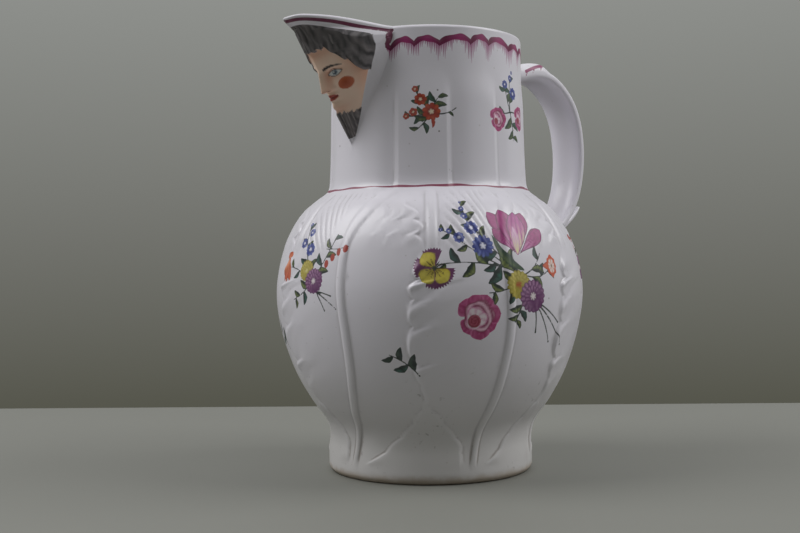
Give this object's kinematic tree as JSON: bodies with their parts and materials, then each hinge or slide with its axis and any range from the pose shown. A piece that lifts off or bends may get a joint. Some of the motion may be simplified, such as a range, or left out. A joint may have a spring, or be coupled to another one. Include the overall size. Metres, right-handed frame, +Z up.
{
  "type": "mask jug",
  "caption": "Hollow porcelain jug with leaf-moulded belly, panelled neck, beaked spout over a bearded mask and a strap handle opposite.",
  "frame": {"origin": "centre of the flat underside, on the axis of the body", "axes": "+Z up along the axis of the body, -X towards the spout, +X towards the handle"},
  "size_m": [0.2048, 0.1574, 0.2232],
  "materials": {
    "porcelain": "gloss"
  },
  "bodies": {
    "root": {"jug": "porcelain"}
  },
  "joints": []
}
